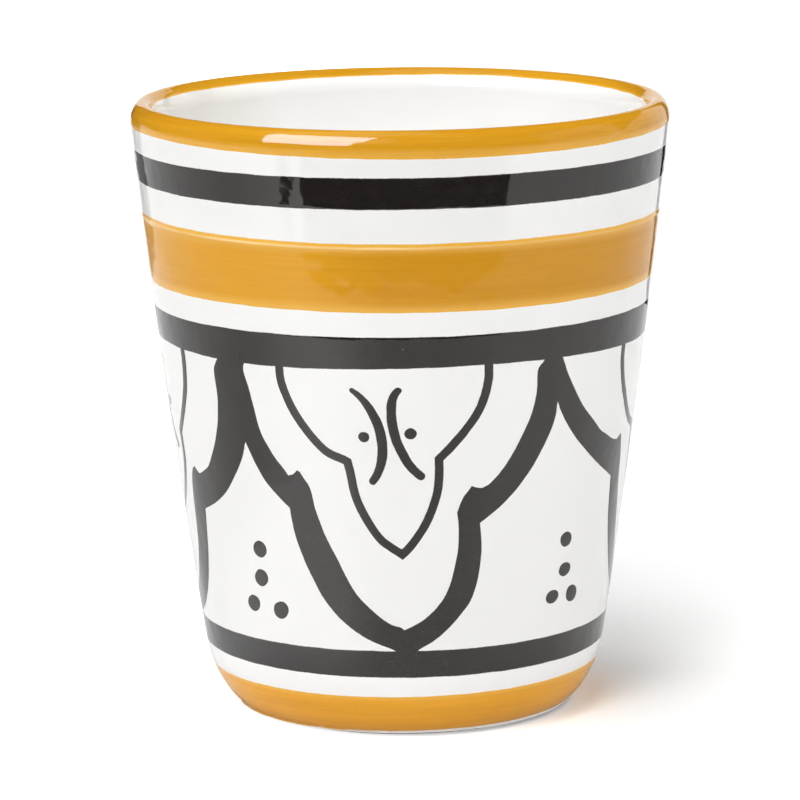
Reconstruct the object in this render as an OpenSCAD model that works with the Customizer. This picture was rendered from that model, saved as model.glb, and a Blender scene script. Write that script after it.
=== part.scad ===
// Handle-less glazed ceramic cup with painted bands and a frieze of lobed arches.
// The cup stands on z = 0 on its own axis, and its front faces -Y.
// Angles run round the cup from the front, positive towards +X.

/* [Cup] */
// Height from the table to the top of the painted lip
height = 90; // [80:1:110]
// Outer diameter that the wall runs out to at the top
rim_d = 79.4; // [74:0.2:90]
// Outer diameter of the wall at the top of the heel
heel_d = 59.1; // [54:0.1:66]
// How far the wall swells beyond a straight cone at mid height
bulge = 0.5; // [0:0.05:1.5]
// Thickness of the wall under the rounded lip
lip_t = 4; // [3:0.1:5]
// How far in from the outside the top of the lip lies
lip_top_in = 1.8; // [1:0.1:2.4]
// How far the lip rounds down on the outside
lip_out_h = 3; // [1.5:0.1:4]
// How far the lip rounds down on the inside
lip_in_h = 3.8; // [1.5:0.1:5]
// Thickness of the wall where it meets the floor
low_wall_t = 4.6; // [3.6:0.1:6]
// Thickness of the floor above the recess under it
floor_t = 5; // [3.5:0.1:8]
// Radius inside, where the wall rounds into the floor
floor_round = 9; // [5:0.5:14]

/* [Foot] */
// Height of the rounded heel
heel_h = 10.2; // [9:0.1:13]
// How far the heel draws in from the wall to the table
heel_in = 6.3; // [4:0.1:9]
// Width of the bare ring that the cup stands on
foot_ring_w = 5; // [3:0.1:7]
// Depth of the recess under the floor
recess_h = 2; // [1:0.1:3]
// How far the side of the recess slopes in
recess_slope = 1; // [0.5:0.1:2]
// Height of the bare clay left under the outer glaze
bare_h = 0.3; // [0.2:0.1:1.2]

/* [Glaze and paint] */
// Thickness of the white glaze
glaze_t = 0.3; // [0.2:0.05:0.5]
// How far a painted coat stands out from the glaze
paint_t = 0.2; // [0.15:0.05:0.4]

/* [Bands] */
// How far the rim band runs down the wall below the round of the lip
rim_drop = 0.3; // [0.1:0.1:3]
// How far the rim band reaches down inside the lip
rim_inside_h = 1.1; // [0.8:0.1:1.5]
// White gap under the rim band
upper_gap = 3; // [2:0.1:5]
// Height of the upper black band
upper_band_h = 4.4; // [2:0.1:6]
// White gap under the upper black band
middle_gap = 4.9; // [3:0.1:7]
// Height of the wide mustard band
wide_band_h = 9.9; // [6:0.1:12]
// White gap under the wide mustard band
lower_gap = 3.6; // [2:0.1:6]
// Height of the black band that the arches hang from
frieze_band_h = 4.4; // [2:0.1:6]
// Height of the black band on top of the heel
base_band_h = 4; // [2:0.1:6]
// White line between the bare clay and the foot band
foot_line_h = 0.5; // [0.3:0.1:1.5]
// Height of the mustard foot band
foot_band_h = 6.3; // [4:0.1:7]

/* [Frieze] */
// Height of the cut between the two arms of a thick stroke at its elbow
elbow_h = 5.9; // [4:0.1:8]
// Height of the thick stroke where the arms meet at the foot of an arch
crotch_h = 3.2; // [2:0.1:5]
// Width of the thin pendant line
pendant_w = 1.4; // [0.8:0.1:2.2]
// Width of a crescent
crescent_w = 1.3; // [0.8:0.1:2]
// Diameter of a dot inside a pendant
pendant_dot_d = 1.6; // [1:0.1:2.2]
// Diameter of a dot of the clusters
cluster_dot_d = 2.6; // [1.5:0.1:3.2]

/* [Hidden] */
$fn = 96;

// Colours of the clay, the glazes and the paints
clay = [0.78, 0.64, 0.5];
liner_white = [0.95, 0.94, 0.92];
outer_white = [0.96, 0.96, 0.95];
mustard = [0.83, 0.57, 0.18];
black = [0.18, 0.17, 0.17];

// Top of the lip under its paint, and where its rounds end outside and inside
lip_top_z = height - paint_t;
lip_z = lip_top_z - lip_out_h;
lip_in_z = lip_top_z - lip_in_h;

// Floor inside the cup, and the top of the round between wall and floor
floor_z = recess_h + floor_t + glaze_t;
corner_z = floor_z + floor_round;

// Heights of the edges of the bands, from the lip down and from the heel up
rim_lo = lip_z - rim_drop;
upper_hi = rim_lo - upper_gap;
upper_lo = upper_hi - upper_band_h;
wide_hi = upper_lo - middle_gap;
wide_lo = wide_hi - wide_band_h;
frieze_band_hi = wide_lo - lower_gap;
frieze_hi = frieze_band_hi - frieze_band_h;
frieze_lo = heel_h + base_band_h;
frieze_h = frieze_hi - frieze_lo;

// Every profile point is a radius, a height, and the direction that coats build up in
function wall_r(z) = let (s = (z - heel_h) / (height - heel_h))
    heel_d / 2 + (rim_d - heel_d) / 2 * s + 4 * bulge * s * (1 - s);
function inner_r(z) =
    wall_r(z) - lip_t - (low_wall_t - lip_t) * (lip_in_z - z) / (lip_in_z - floor_z);
function heel_point(a) = let (z = heel_h - (heel_h + glaze_t) * sin(a))
    [wall_r(z) - heel_in * (1 - cos(a)), z, cos(a), -sin(a)];
function wall_point(z) = [wall_r(z), z, 1, 0];
lip_top_r = wall_r(lip_z) - lip_top_in;
lip_in_w = lip_top_r - inner_r(lip_in_z);
function lip_point(a) = let (w = a < 90 ? lip_top_in : lip_in_w,
        h = a < 90 ? lip_out_h : lip_in_h,
        out = unit([h * cos(a), w * sin(a)]))
    [lip_top_r + w * cos(a), lip_top_z - h * (1 - sin(a)), out[0], out[1]];
function inner_point(z) = [inner_r(z), z, -1, 0];
function corner_point(a) = [inner_r(corner_z) - floor_round * (1 - cos(a)),
    corner_z - floor_round * sin(a), -cos(a), sin(a)];

// A direction of length 1, and even steps from one value to another
function unit(v) = v / norm(v);
function steps(a, b, n) = [for (i = [0:n]) a + (b - a) * i / n];
function rest(list) = [for (i = [1:len(list) - 1]) list[i]];
function backwards(list) = [for (i = [len(list) - 1:-1:0]) list[i]];

// Angle round the heel, from its top, at a height above the table
function heel_angle(z) = asin((heel_h - z) / (heel_h + glaze_t));
glaze_end = heel_angle(bare_h);
foot_band_from = heel_angle(bare_h + foot_line_h);
foot_band_to = heel_angle(bare_h + foot_line_h + foot_band_h);
rim_inside_to = 180 - asin(1 - rim_inside_h / (lip_in_h + paint_t));

// Steps along a round, up or down a wall, and over a short end of the profile
round_steps = 8;
wall_steps = 6;
end_steps = 3;

// Stretches of the profile, cut where a coat begins or ends
foot_run = [for (a = steps(90, glaze_end, end_steps)) heel_point(a)];
foot_line = [for (a = [glaze_end, foot_band_from]) heel_point(a)];
foot_band_run = [for (a = steps(foot_band_from, foot_band_to, round_steps)) heel_point(a)];
heel_top_run = [for (a = steps(foot_band_to, 0, end_steps)) heel_point(a)];
frieze_run = [for (z = steps(frieze_lo, frieze_hi, wall_steps)) wall_point(z)];
rim_wall = [for (z = [rim_lo, lip_z]) wall_point(z)];
lip_outside = [for (a = steps(0, 90, round_steps)) lip_point(a)];
lip_inside = [for (a = steps(90, rim_inside_to, round_steps)) lip_point(a)];
lip_end = [for (a = steps(rim_inside_to, 180, end_steps)) lip_point(a)];
inner_run = [for (z = steps(lip_in_z, corner_z, wall_steps)) inner_point(z)];
corner_run = [for (a = steps(0, 90, round_steps)) corner_point(a)];
function wall_run(lo, hi) = [for (z = [lo, hi]) wall_point(z)];

outside_run = concat(foot_line, rest(foot_band_run), rest(heel_top_run), frieze_run,
    [for (z = [frieze_band_hi, wide_lo, wide_hi, upper_lo, upper_hi, rim_lo, lip_z])
        wall_point(z)], rest(lip_outside));
inside_run = concat(lip_inside, rest(lip_end), rest(inner_run), rest(corner_run),
    [[0, floor_z, 0, 1]]);

// A run moved out along its coat direction, and the coat between two such layers
function layer(run, t) = [for (p = run) [p[0] + t * p[2], p[1] + t * p[3]]];
module coat(run, from, to) {
    rotate_extrude()
        polygon(concat(layer(run, to), backwards(layer(run, from))));
}

// Drawing on the frieze: a point is an angle and a share of the frieze height.
// A curve leaves a and reaches b, its two handles given as shares of the way to b.
curve_steps = 9;
function curve(a, b, h) = let (d = b - a, p = a + [d[0] * h[0], d[1] * h[1]],
        q = a + [d[0] * h[2], d[1] * h[3]])
    [for (i = [0:curve_steps]) let (t = i / curve_steps, u = 1 - t)
        u * u * u * a + 3 * u * u * t * p + 3 * u * t * t * q + t * t * t * b];
function on_wall(p) = [p[0], frieze_lo + p[1] * frieze_h];

// Brush strokes are cut square to one direction round the cup, so they keep flat sides
mm_per_deg = wall_r(frieze_lo + frieze_h / 2) * PI / 180;
stamp_from = heel_d / 4;
module stamp(at, outline) {
    rotate([0, 0, at]) rotate([90, 0, 0]) translate([0, 0, stamp_from])
        linear_extrude(height = rim_d / 2 - stamp_from)
            polygon([for (p = outline) [wall_r(p[1]) * sin(p[0] - at), p[1]]]);
}
module stamp_dot(at, share, d) {
    rotate([0, 0, at]) rotate([90, 0, 0]) translate([0, frieze_lo + share * frieze_h, stamp_from])
        cylinder(h = rim_d / 2 - stamp_from, d = d);
}
module painted() {
    intersection() {
        coat(frieze_run, 0, paint_t);
        union() children();
    }
}

// The four hand-set arches: where the foot of each stands, and the tip on its left
arch_at = [0, 94, 185, 275];
arch_tip = [-41, 39, 139, 230];
tip_share = [0.71, 0.84, 0.76, 0.77];
left_elbow = [-26.3, -25.6, -26, -27];
left_elbow_share = [0.63, 0.655, 0.65, 0.65];
right_elbow = [16.7, 19, 19, 20.7];
right_elbow_share = [0.58, 0.575, 0.575, 0.572];
last_arch = len(arch_at) - 1;

// How far a stroke runs past a band before the band's edge cuts it
past_band = 0.03;
// How far an arm runs on into the next one where they meet, in degrees and shares
arm_lap = [1.4, 0.03];
// Breadth of an arm at its tip, in degrees, for a left and a right arm
left_tip_w = 1.2;
right_tip_w = 6.8;
// The elbow's nib: a notch outside it, a shoulder inside it, in degrees and shares
notch = [2.7, -0.017];
shoulder = [-3.1, -0.076];
elbow_out = 3;
foot_out = 2;
// Handles of the four edges of an arm: tip to notch, shoulder to foot, elbow to foot and tip
left_edges = [[0.145, 0.43, 0.45, 0.84], [0.06, 0.45, 0.53, 0.89],
    [0.02, 0.39, 0.35, 0.94], [0.31, 0.17, 0.76, 0.5]];
right_edges = [[-0.03, 0.4, 0.49, 0.92], [-0.12, 0.57, 0.32, 0.94],
    [-0.14, 0.455, 0.21, 0.91], [0.38, 0.17, 0.95, 0.57]];

// One arm of an arch, from its tip by its elbow to its foot; side is -1 left, 1 right
function arm(side, foot, tip, tip_v, elbow, elbow_v) =
    let (edges = side < 0 ? left_edges : right_edges,
        breadth = side < 0 ? left_tip_w : right_tip_w,
        nib = [elbow, elbow_v],
        cut = nib + [side * elbow_out, -elbow_h / frieze_h],
        sole = [foot + side * foot_out, -past_band],
        crotch = [foot - side * arm_lap[0], crotch_h / frieze_h - arm_lap[1]],
        point = [tip + side * arm_lap[0], tip_v + arm_lap[1]])
    concat(
        curve([tip - side * breadth, 1 + past_band], nib + [side * notch[0], notch[1]], edges[0]),
        [nib],
        curve(nib + [side * shoulder[0], shoulder[1]], crotch, edges[1]),
        [[crotch[0], -past_band]],
        backwards(curve(cut, sole, edges[2])),
        rest(curve(cut, point, edges[3])),
        [[point[0], 1 + past_band]]);

module stamp_arm(side, foot, tip, tip_v, elbow, elbow_v) {
    stamp((foot + tip) / 2,
        [for (p = arm(side, foot, tip, tip_v, elbow, elbow_v)) on_wall(p)]);
}

// Pendant lines: angles from the arch's foot, and shares of the frieze height
pendant_left = [-28.9, -31, -30, -30];
pendant_left_elbow = [-13.3, -15, -15, -15];
pendant_right = [19.8, 22, 22, 23.1];
pendant_right_elbow = [8.5, 11, 12, 14];
pendant_elbow_share = 0.68;
pendant_tip = [-0.4, 0.352];
pendant_lap = 0.6;
pendant_left_legs = [[0.026, 0.46, 0.506, 0.934], [0.086, 0.485, 0.453, 0.853]];
pendant_right_legs = [[-0.044, 0.36, 0.38, 0.7], [-0.09, 0.357, 0.28, 0.69]];

// A line of even width along points, in degrees and millimetres. Its round ends reach
// so far to either side of straight ahead.
cap_turn = 60;
cap_steps = 4;
function unrolled(p) = [p[0] * mm_per_deg, frieze_lo + p[1] * frieze_h];
function heading(pts, i) = unit(pts[min(i + 1, len(pts) - 1)] - pts[max(i - 1, 0)]);
function round_about(p, along, r, a) =
    p + r * [along[0] * cos(a) - along[1] * sin(a), along[1] * cos(a) + along[0] * sin(a)];
function beside(pts, i, r, a) = round_about(pts[i], heading(pts, i), r, a);
function ribbon(line, w) = let (pts = [for (p = line) unrolled(p)], n = len(pts) - 1,
        edge = concat([for (i = [0:n]) beside(pts, i, w / 2, -90)],
            [for (a = steps(-cap_turn, cap_turn, cap_steps)) beside(pts, n, w / 2, a)],
            [for (i = [n:-1:0]) beside(pts, i, w / 2, 90)],
            [for (a = steps(180 - cap_turn, 180 + cap_turn, cap_steps)) beside(pts, 0, w / 2, a)]))
    [for (q = edge) [q[0] / mm_per_deg, q[1]]];

function pendant_line(side, at, top, elbow) =
    let (legs = side < 0 ? pendant_left_legs : pendant_right_legs,
        knee = [at + elbow, pendant_elbow_share],
        tip = [at, 0] + pendant_tip - [side * pendant_lap, 0])
    concat(curve([at + top, 1 + past_band], knee, legs[0]), rest(curve(knee, tip, legs[1])));

module stamp_pendant(side, at, top, elbow) {
    stamp(at + top / 2, ribbon(pendant_line(side, at, top, elbow), pendant_w));
}

// Two crescents back to back, and the dot in the hollow of each
crescent_at = [0, 94, 186, 280];
crescents = [
    [[-11.6, 0.922], [-7.3, 0.606], [1.42, 0.19, 2.16, 0.714]],
    [[-1, 0.922], [4.2, 0.622], [-0.635, 0.12, -0.31, 0.754]]];
pendant_dot_spots = [[-9.2, 0.76], [1.8, 0.772]];
module stamp_crescent(at, c) {
    line = curve(c[0], c[1], c[2]);
    stamp(at + c[1][0], [for (p = ribbon(line, crescent_w)) p + [at, 0]]);
}

// Four dots under each tip of the arches
cluster_at = [-40.2, 46.7, 139, 230];
cluster_spots = [[0, 0.338], [0, 0.23], [-3.9, 0.134], [4.9, 0.13]];

module clay_body() {
    ring_r = heel_point(90)[0];
    underside = [[0, recess_h], [ring_r - foot_ring_w - recess_slope, recess_h],
        [ring_r - foot_ring_w, 0]];
    color(clay) rotate_extrude()
        polygon(concat(underside, layer(concat(foot_run, rest(outside_run), rest(inside_run)),
            -glaze_t)));
}

module liner_glaze() {
    color(liner_white) coat(inside_run, -glaze_t, 0);
}

module outer_glaze() {
    color(outer_white) coat(outside_run, -glaze_t, 0);
}

module rim_band() {
    color(mustard)
        coat(concat(rim_wall, rest(lip_outside), rest(lip_inside)), 0, paint_t);
}

module upper_black_band() {
    color(black) coat(wall_run(upper_lo, upper_hi), 0, paint_t);
}

module wide_mustard_band() {
    color(mustard) coat(wall_run(wide_lo, wide_hi), 0, paint_t);
}

module frieze_top_band() {
    color(black) coat(wall_run(frieze_hi, frieze_band_hi), 0, paint_t);
}

module arch_strokes() {
    color(black) painted() {
        for (i = [0:last_arch]) {
            next_tip = i < last_arch ? arch_tip[i + 1] : arch_tip[0] + 360;
            next_share = tip_share[i < last_arch ? i + 1 : 0];
            stamp_arm(-1, arch_at[i], arch_tip[i], tip_share[i],
                arch_at[i] + left_elbow[i], left_elbow_share[i]);
            stamp_arm(1, arch_at[i], next_tip, next_share,
                arch_at[i] + right_elbow[i], right_elbow_share[i]);
        }
    }
}

module pendant_strokes() {
    color(black) painted() {
        for (i = [0:last_arch]) {
            stamp_pendant(-1, arch_at[i], pendant_left[i], pendant_left_elbow[i]);
            stamp_pendant(1, arch_at[i], pendant_right[i], pendant_right_elbow[i]);
        }
    }
}

module crescent_strokes() {
    color(black) painted() {
        for (at = crescent_at) for (c = crescents) stamp_crescent(at, c);
    }
}

module pendant_dots() {
    color(black) painted() {
        for (at = crescent_at) for (s = pendant_dot_spots)
            stamp_dot(at + s[0], s[1], pendant_dot_d);
    }
}

module dot_clusters() {
    color(black) painted() {
        for (at = cluster_at) for (s = cluster_spots) stamp_dot(at + s[0], s[1], cluster_dot_d);
    }
}

module base_black_band() {
    color(black) coat(wall_run(heel_h, frieze_lo), 0, paint_t);
}

module foot_mustard_band() {
    color(mustard) coat(foot_band_run, 0, paint_t);
}

clay_body();
liner_glaze();
outer_glaze();
rim_band();
upper_black_band();
wide_mustard_band();
frieze_top_band();
arch_strokes();
pendant_strokes();
crescent_strokes();
pendant_dots();
dot_clusters();
base_black_band();
foot_mustard_band();
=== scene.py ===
"""Looks of the hand-painted cup: turned clay, poured glazes and raised brushwork."""
import math
import bpy
from mathutils import Matrix, Vector, geometry, kdtree, noise


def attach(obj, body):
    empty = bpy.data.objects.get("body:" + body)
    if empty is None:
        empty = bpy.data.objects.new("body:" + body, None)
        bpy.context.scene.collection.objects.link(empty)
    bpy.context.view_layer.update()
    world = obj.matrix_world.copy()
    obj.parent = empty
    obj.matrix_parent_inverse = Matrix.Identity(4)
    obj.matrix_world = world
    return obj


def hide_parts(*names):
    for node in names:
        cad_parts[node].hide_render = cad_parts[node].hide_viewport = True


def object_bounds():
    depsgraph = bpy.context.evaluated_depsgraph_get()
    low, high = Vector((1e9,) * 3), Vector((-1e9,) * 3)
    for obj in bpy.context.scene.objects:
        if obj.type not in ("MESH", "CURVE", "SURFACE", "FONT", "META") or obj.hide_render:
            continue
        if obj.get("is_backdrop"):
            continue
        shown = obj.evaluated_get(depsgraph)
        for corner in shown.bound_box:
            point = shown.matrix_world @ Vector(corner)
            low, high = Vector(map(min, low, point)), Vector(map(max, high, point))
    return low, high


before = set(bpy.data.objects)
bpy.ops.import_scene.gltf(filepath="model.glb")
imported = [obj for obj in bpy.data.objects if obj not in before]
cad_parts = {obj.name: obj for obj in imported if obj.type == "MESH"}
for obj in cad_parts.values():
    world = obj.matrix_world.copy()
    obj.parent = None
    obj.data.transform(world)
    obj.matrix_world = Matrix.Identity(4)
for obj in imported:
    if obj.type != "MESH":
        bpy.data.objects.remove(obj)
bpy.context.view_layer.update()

MM = 0.001

# Sizes of the cup in millimetres, as in the part's source
HEIGHT = 90.0
RIM_D = 79.4
HEEL_D = 59.1
BULGE = 0.5
LIP_T = 4.0
LIP_TOP_IN = 1.8
LIP_OUT_H = 3.0
LIP_IN_H = 3.8
LOW_WALL_T = 4.6
HEEL_H = 10.2
HEEL_IN = 6.3
FOOT_RING_W = 5.0
RECESS_H = 2.0
RECESS_SLOPE = 1.0
FLOOR_T = 5.0
FLOOR_ROUND = 9.0
BARE_H = 0.62
GLAZE_FOOT = 0.95
GLAZE_T = 0.3
COAT = 0.025
LIP_TOP_Z = HEIGHT - COAT
LIP_Z = LIP_TOP_Z - LIP_OUT_H
LIP_IN_Z = LIP_TOP_Z - LIP_IN_H
FLOOR_Z = RECESS_H + FLOOR_T + GLAZE_T
CORNER_Z = FLOOR_Z + FLOOR_ROUND

# Lower and upper edges of the bands
RIM_LO = 86.5
RIM_INSIDE_Z = 88.9
UPPER_BLACK = (79.05, 83.5)
WIDE_MUSTARD = (64.3, 74.2)
FRIEZE_TOP = (56.05, 60.75)
BASE_BLACK = (10.1, 14.2)
FOOT_MUSTARD = (0.7, 7.1)

# How the pieces are cut up
TURNS = 360
MERGE = 0.002
SINK = 0.06
DRAW_R = 33.5
MM_PER_DEG = DRAW_R * math.pi / 180


# The cup's skin: radius, height and the direction that coats build up in
def wall_r(z):
    s = (z - HEEL_H) / (HEIGHT - HEEL_H)
    return HEEL_D / 2 + (RIM_D - HEEL_D) / 2 * s + 4 * BULGE * s * (1 - s)


def inner_r(z):
    return wall_r(z) - LIP_T - (LOW_WALL_T - LIP_T) * (LIP_IN_Z - z) / (LIP_IN_Z - FLOOR_Z)


def heel_turn(z):
    return math.asin((HEEL_H - z) / (HEEL_H + GLAZE_T))


def heel_r(z):
    return wall_r(z) - HEEL_IN * (1 - math.cos(heel_turn(z)))


def outside(z):
    """The wall, the round heel below it, and the upright end of the glaze at the foot."""
    if z >= HEEL_H:
        return (wall_r(z), z, 1.0, 0.0)
    if z < GLAZE_FOOT:
        return (heel_r(GLAZE_FOOT), z, 1.0, 0.0)
    return (heel_r(z), z, math.cos(heel_turn(z)), -math.sin(heel_turn(z)))


LIP_TOP_R = wall_r(LIP_Z) - LIP_TOP_IN
LIP_IN_W = LIP_TOP_R - inner_r(LIP_IN_Z)


def lip(degrees):
    """Round of the lip: 0 on the outside, 90 on top, 180 on the inside."""
    a = math.radians(degrees)
    across, tall = (LIP_TOP_IN, LIP_OUT_H) if degrees <= 90 else (LIP_IN_W, LIP_IN_H)
    out = Vector((tall * math.cos(a), across * math.sin(a))).normalized()
    return (LIP_TOP_R + across * math.cos(a), LIP_TOP_Z - tall * (1 - math.sin(a)), out.x, out.y)


def inside(z):
    return (inner_r(z), z, -1.0, 0.0)


def corner(degrees):
    """Round of the floor's corner: 0 at the wall, 90 at the floor."""
    a = math.radians(degrees)
    return (inner_r(CORNER_Z) - FLOOR_ROUND * (1 - math.cos(a)),
            CORNER_Z - FLOOR_ROUND * math.sin(a), -math.cos(a), math.sin(a))


def even(a, b, step):
    """Evenly spaced values from a to b, no further apart than step."""
    count = max(1, math.ceil(abs(b - a) / step))
    return [a + (b - a) * i / count for i in range(count + 1)]


def layer(run, t):
    """A run of the skin moved out by t, as radius and height."""
    return [(r + t * dr, z + t * dz) for r, z, dr, dz in run]


# Modelling steps
def begin(name):
    """A new piece in edit mode, all of it one selected point at the origin."""
    bpy.ops.object.select_all(action="DESELECT")
    bpy.ops.mesh.primitive_plane_add(size=MM)
    piece = bpy.context.object
    piece.name = name
    piece.data.name = name
    bpy.ops.object.mode_set(mode="EDIT")
    bpy.ops.mesh.select_all(action="SELECT")
    bpy.ops.mesh.merge(type="CENTER")
    return piece


def draw(points):
    """Extrudes the one point along points in millimetres."""
    points = [Vector(p) * MM for p in points]
    bpy.ops.transform.translate(value=points[0])
    for a, b in zip(points, points[1:]):
        bpy.ops.mesh.extrude_vertices_move(TRANSFORM_OT_translate={"value": b - a})


def close_up():
    """Merges the points that meet."""
    bpy.ops.mesh.select_all(action="SELECT")
    bpy.ops.mesh.remove_doubles(threshold=MERGE * MM)


def cut(place, facing, drop=False):
    """Cuts all of a piece along a plane, and may drop what lies past it."""
    bpy.ops.mesh.select_all(action="SELECT")
    bpy.ops.mesh.bisect(plane_co=place, plane_no=facing, clear_outer=drop)


def close_skin():
    """Closes a piece in edit mode, with its faces outwards and smooth."""
    close_up()
    bpy.ops.mesh.normals_make_consistent(inside=False)
    bpy.ops.object.mode_set(mode="OBJECT")
    bpy.ops.object.shade_smooth()


def turn(name, profile):
    """Spins a profile of radius and height round the cup's axis into a closed piece."""
    piece = begin(name)
    draw([(0, -r, z) for r, z in profile])
    close_up()
    bpy.ops.object.mode_set(mode="OBJECT")
    wheel = piece.modifiers.new("wheel", "SCREW")
    wheel.angle = math.tau
    wheel.steps = wheel.render_steps = TURNS
    bpy.ops.object.modifier_apply(modifier="wheel")
    bpy.ops.object.mode_set(mode="EDIT")
    close_skin()
    return piece


def put_on(piece, node, material):
    """Lets the piece stand for its CAD node, with its finish."""
    piece.data.materials.clear()
    piece.data.materials.append(material)
    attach(piece, "root")
    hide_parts(node)


def mark(piece, name, values):
    """Keeps a number at each point of a piece for its finish to read."""
    made = piece.data.attributes.new(name=name, type="FLOAT", domain="POINT")
    made.data.foreach_set("value", values)


# Materials
GLAZE_IOR = 1.5
GLAZE_COLOUR = (0.84, 0.835, 0.825)


class Finish:
    """A node material with one Principled shader."""

    def __init__(self, name, roughness):
        self.material = bpy.data.materials.new(name)
        self.material.use_nodes = True
        self.nodes = self.material.node_tree.nodes
        self.links = self.material.node_tree.links
        self.shader = self.nodes["Principled BSDF"]
        self.shader.inputs["Roughness"].default_value = roughness
        self.shader.inputs["IOR"].default_value = GLAZE_IOR
        self.place = self.nodes.new("ShaderNodeTexCoord").outputs["Object"]

    def join(self, socket, value):
        if isinstance(value, bpy.types.NodeSocket):
            self.links.new(value, socket)
        else:
            socket.default_value = value

    def noise(self, scale, detail=3.0, stretch=(1, 1, 1), shift=0.0):
        laid = self.nodes.new("ShaderNodeMapping")
        laid.inputs["Scale"].default_value = stretch
        laid.inputs["Location"].default_value = (shift, shift, shift)
        self.links.new(self.place, laid.inputs["Vector"])
        made = self.nodes.new("ShaderNodeTexNoise")
        made.inputs["Scale"].default_value = scale
        made.inputs["Detail"].default_value = detail
        self.links.new(laid.outputs["Vector"], made.inputs["Vector"])
        return made.outputs["Fac"]

    def specks(self, scale, size, share):
        """1 inside sparse small round specks, 0 elsewhere."""
        cells = self.nodes.new("ShaderNodeTexVoronoi")
        cells.inputs["Scale"].default_value = scale
        self.links.new(self.place, cells.inputs["Vector"])
        near = self.spread(cells.outputs["Distance"], size, 0.4 * size, 0.0, 1.0)
        pick = self.nodes.new("ShaderNodeSeparateColor")
        self.links.new(cells.outputs["Color"], pick.inputs["Color"])
        some = self.spread(pick.outputs["Red"], share, 0.7 * share, 0.0, 1.0)
        return self.times(near, some)

    def spread(self, value, low, high, to_low, to_high, eased=False):
        """A value between low and high carried over to another span, held at its ends."""
        made = self.nodes.new("ShaderNodeMapRange")
        made.interpolation_type = "SMOOTHSTEP" if eased else "LINEAR"
        for key, v in (("Value", value), ("From Min", low), ("From Max", high),
                       ("To Min", to_low), ("To Max", to_high)):
            self.join(made.inputs[key], v)
        return made.outputs["Result"]

    def reckon(self, operation, a, b):
        made = self.nodes.new("ShaderNodeMath")
        made.operation = operation
        self.join(made.inputs[0], a)
        self.join(made.inputs[1], b)
        return made.outputs[0]

    def times(self, a, b):
        return self.reckon("MULTIPLY", a, b)

    def plus(self, a, b):
        return self.reckon("ADD", a, b)

    def blend(self, share, a, b):
        """Colour a where the share is 0, colour b where it is 1."""
        made = self.nodes.new("ShaderNodeMix")
        made.data_type = "RGBA"
        self.join(made.inputs[0], share)
        self.join(made.inputs[6], a if isinstance(a, bpy.types.NodeSocket) else (*a, 1))
        self.join(made.inputs[7], b if isinstance(b, bpy.types.NodeSocket) else (*b, 1))
        return made.outputs[2]

    def along(self, axis):
        made = self.nodes.new("ShaderNodeSeparateXYZ")
        self.links.new(self.place, made.inputs["Vector"])
        return made.outputs[axis]

    def length(self):
        made = self.nodes.new("ShaderNodeVectorMath")
        made.operation = "LENGTH"
        self.links.new(self.place, made.inputs[0])
        return made.outputs["Value"]

    def attribute(self, name):
        made = self.nodes.new("ShaderNodeAttribute")
        made.attribute_name = name
        return made.outputs["Fac"]

    def colour(self, socket):
        self.links.new(socket, self.shader.inputs["Base Color"])

    def rough(self, socket):
        self.links.new(socket, self.shader.inputs["Roughness"])

    def bump(self, height, distance):
        """Fine relief, laid over any that is already there."""
        made = self.nodes.new("ShaderNodeBump")
        made.inputs["Distance"].default_value = distance
        self.links.new(height, made.inputs["Height"])
        last = self.shader.inputs["Normal"]
        if last.is_linked:
            self.links.new(last.links[0].from_socket, made.inputs["Normal"])
        self.links.new(made.outputs["Normal"], last)


def white_glaze(name, base, shade, painted_light_and_shade):
    """White glaze that runs to other whites, each between two places along an axis; these other whites
    are painted light and painted shade.
    """
    f = Finish(name, 0.1)
    cloud = f.spread(f.noise(55, 4), 0.35, 0.65, 0.0, 1.0)
    body = f.blend(cloud, shade, base)
    for axis, start, end, white in painted_light_and_shade:
        body = f.blend(f.spread(f.along(axis), start, end, 0.0, 1.0), body, white)
    body = f.blend(f.times(f.specks(150, 0.05, 0.07), 0.5), body, (0.42, 0.36, 0.3))
    f.colour(body)
    f.rough(f.spread(f.noise(140, 2, shift=3.0), 0.3, 0.7, 0.05, 0.1))
    f.bump(f.noise(150, 2, shift=7.0), 1e-4)
    f.bump(f.noise(900, 2, shift=1.0), 6e-7)
    return f.material


def paint_edge(f, body, margin, graze, tint):
    """Thins the paint into the glaze under it along its finely grained edge.

    paint_depth is 0 at the paint's edge and 1 where the usual coat lies."""
    grain = f.spread(f.noise(2400, 2, shift=8.0), 0.3, 0.7, -0.1, 0.1)
    depth = f.plus(f.attribute("paint_depth"), grain)
    body = f.blend(f.spread(depth, 0.5 * margin, margin, graze, 0.0), body, tint)
    return f.blend(f.spread(depth, 0.05, 0.25, 0.8, 0.0), body, GLAZE_COLOUR)


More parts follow.
